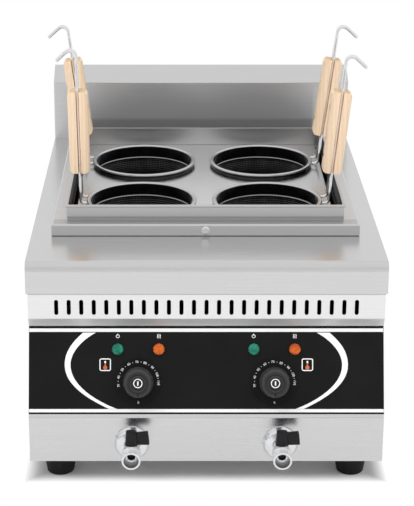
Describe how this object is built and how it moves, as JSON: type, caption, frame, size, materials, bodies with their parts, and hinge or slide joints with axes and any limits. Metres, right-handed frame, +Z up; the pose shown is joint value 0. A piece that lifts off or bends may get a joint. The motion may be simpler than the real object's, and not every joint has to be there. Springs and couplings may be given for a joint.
{
  "type": "countertop pasta cooker",
  "caption": "Countertop electric pasta cooker: steel cabinet with splashback, twin tanks under a basket plate, lift-out baskets with wooden grips, thermostat knobs, lamps and drain taps",
  "frame": {"origin": "on the table, midway between the tap outlets and the end of the cable gland, in the middle of the width", "axes": "+X to the right of a user at the controls, +Y to the back, +Z up"},
  "size_m": [0.4, 0.6026, 0.4603],
  "materials": {
    "casing": "satin brushed stainless sheet",
    "floor_sheet": "plain sheet",
    "fascia": "printed film",
    "collar": "satin brushed stainless sheet",
    "tank": "satin stainless sheet",
    "rubber": "matt",
    "fastener": "bright",
    "ring_steel": "polished",
    "mesh_steel": "fine mesh",
    "wire": "polished wire",
    "wood": "light, close grain",
    "heater": "dull sheath",
    "moulding": "moulded",
    "copper": "drawn tube",
    "dial": "printed",
    "knob": "moulded",
    "green_lens": "clear tinted",
    "orange_lens": "clear tinted",
    "black_plastic": "moulded",
    "chrome": "plated",
    "ball": "polished"
  },
  "bodies": {
    "cabinet": {"worktop": "casing", "splashback": "casing", "front_panel": "casing", "control_fascia": "fascia", "side_panel_left": "casing", "side_panel_right": "casing", "back_panel": "casing", "bottom_plate": "floor_sheet", "feet": "rubber", "foot_studs": "fastener", "back_screws": "fastener", "well_collar": "collar", "collar_screws": "fastener", "tank_left": "tank", "tank_right": "tank", "plate_ledges": "collar", "heaters": "heater", "thermostats": "moulding", "sensors": "copper", "dial_plates": "dial", "power_lamps": "green_lens", "heat_lamps": "orange_lens", "lamp_holders": "black_plastic", "tap_escutcheons": "chrome", "tap_body_left": "chrome", "tap_body_right": "chrome", "drain_pipes": "tank", "cable_gland": "black_plastic", "terminal_block": "moulding"},
    "plate": {"basket_plate": "collar"},
    "front_left_basket": {"fl_basket_rim": "ring_steel", "fl_basket_mesh": "mesh_steel", "fl_handle_wire": "wire", "fl_grip": "wood", "fl_grip_pins": "fastener"},
    "front_right_basket": {"fr_basket_rim": "ring_steel", "fr_basket_mesh": "mesh_steel", "fr_handle_wire": "wire", "fr_grip": "wood", "fr_grip_pins": "fastener"},
    "rear_left_basket": {"rl_basket_rim": "ring_steel", "rl_basket_mesh": "mesh_steel", "rl_handle_wire": "wire", "rl_grip": "wood", "rl_grip_pins": "fastener"},
    "rear_right_basket": {"rr_basket_rim": "ring_steel", "rr_basket_mesh": "mesh_steel", "rr_handle_wire": "wire", "rr_grip": "wood", "rr_grip_pins": "fastener"},
    "knob_left": {"knob_left": "knob", "shaft_left": "fastener"},
    "knob_right": {"knob_right": "knob", "shaft_right": "fastener"},
    "tap_left": {"tap_lever_left": "black_plastic", "valve_ball_left": "ball"},
    "tap_right": {"tap_lever_right": "black_plastic", "valve_ball_right": "ball"}
  },
  "joints": [
    {"name": "plate_lift", "type": "slide", "parent": "cabinet", "child": "plate", "axis": [0, 0, 1], "range_m": [0, 0.2]},
    {"name": "front_left_basket_lift", "type": "slide", "parent": "plate", "child": "front_left_basket", "axis": [0, 0, 1], "range_m": [0, 0.2]},
    {"name": "front_right_basket_lift", "type": "slide", "parent": "plate", "child": "front_right_basket", "axis": [0, 0, 1], "range_m": [0, 0.2]},
    {"name": "rear_left_basket_lift", "type": "slide", "parent": "plate", "child": "rear_left_basket", "axis": [0, 0, 1], "range_m": [0, 0.2]},
    {"name": "rear_right_basket_lift", "type": "slide", "parent": "plate", "child": "rear_right_basket", "axis": [0, 0, 1], "range_m": [0, 0.2]},
    {"name": "left_thermostat", "type": "hinge", "parent": "cabinet", "child": "knob_left", "pos_m": [-0.076, -0.24197, 0.12344], "axis": [0, 0.9336, -0.3584], "range_deg": [0, 272]},
    {"name": "right_thermostat", "type": "hinge", "parent": "cabinet", "child": "knob_right", "pos_m": [0.076, -0.24197, 0.12344], "axis": [0, 0.9336, -0.3584], "range_deg": [0, 272]},
    {"name": "left_tap", "type": "hinge", "parent": "cabinet", "child": "tap_left", "pos_m": [-0.0832, -0.28154, 0.0555], "axis": [0, 0, -1], "range_deg": [0, 90]},
    {"name": "right_tap", "type": "hinge", "parent": "cabinet", "child": "tap_right", "pos_m": [0.0832, -0.28154, 0.0555], "axis": [0, 0, -1], "range_deg": [0, 90]}
  ]
}
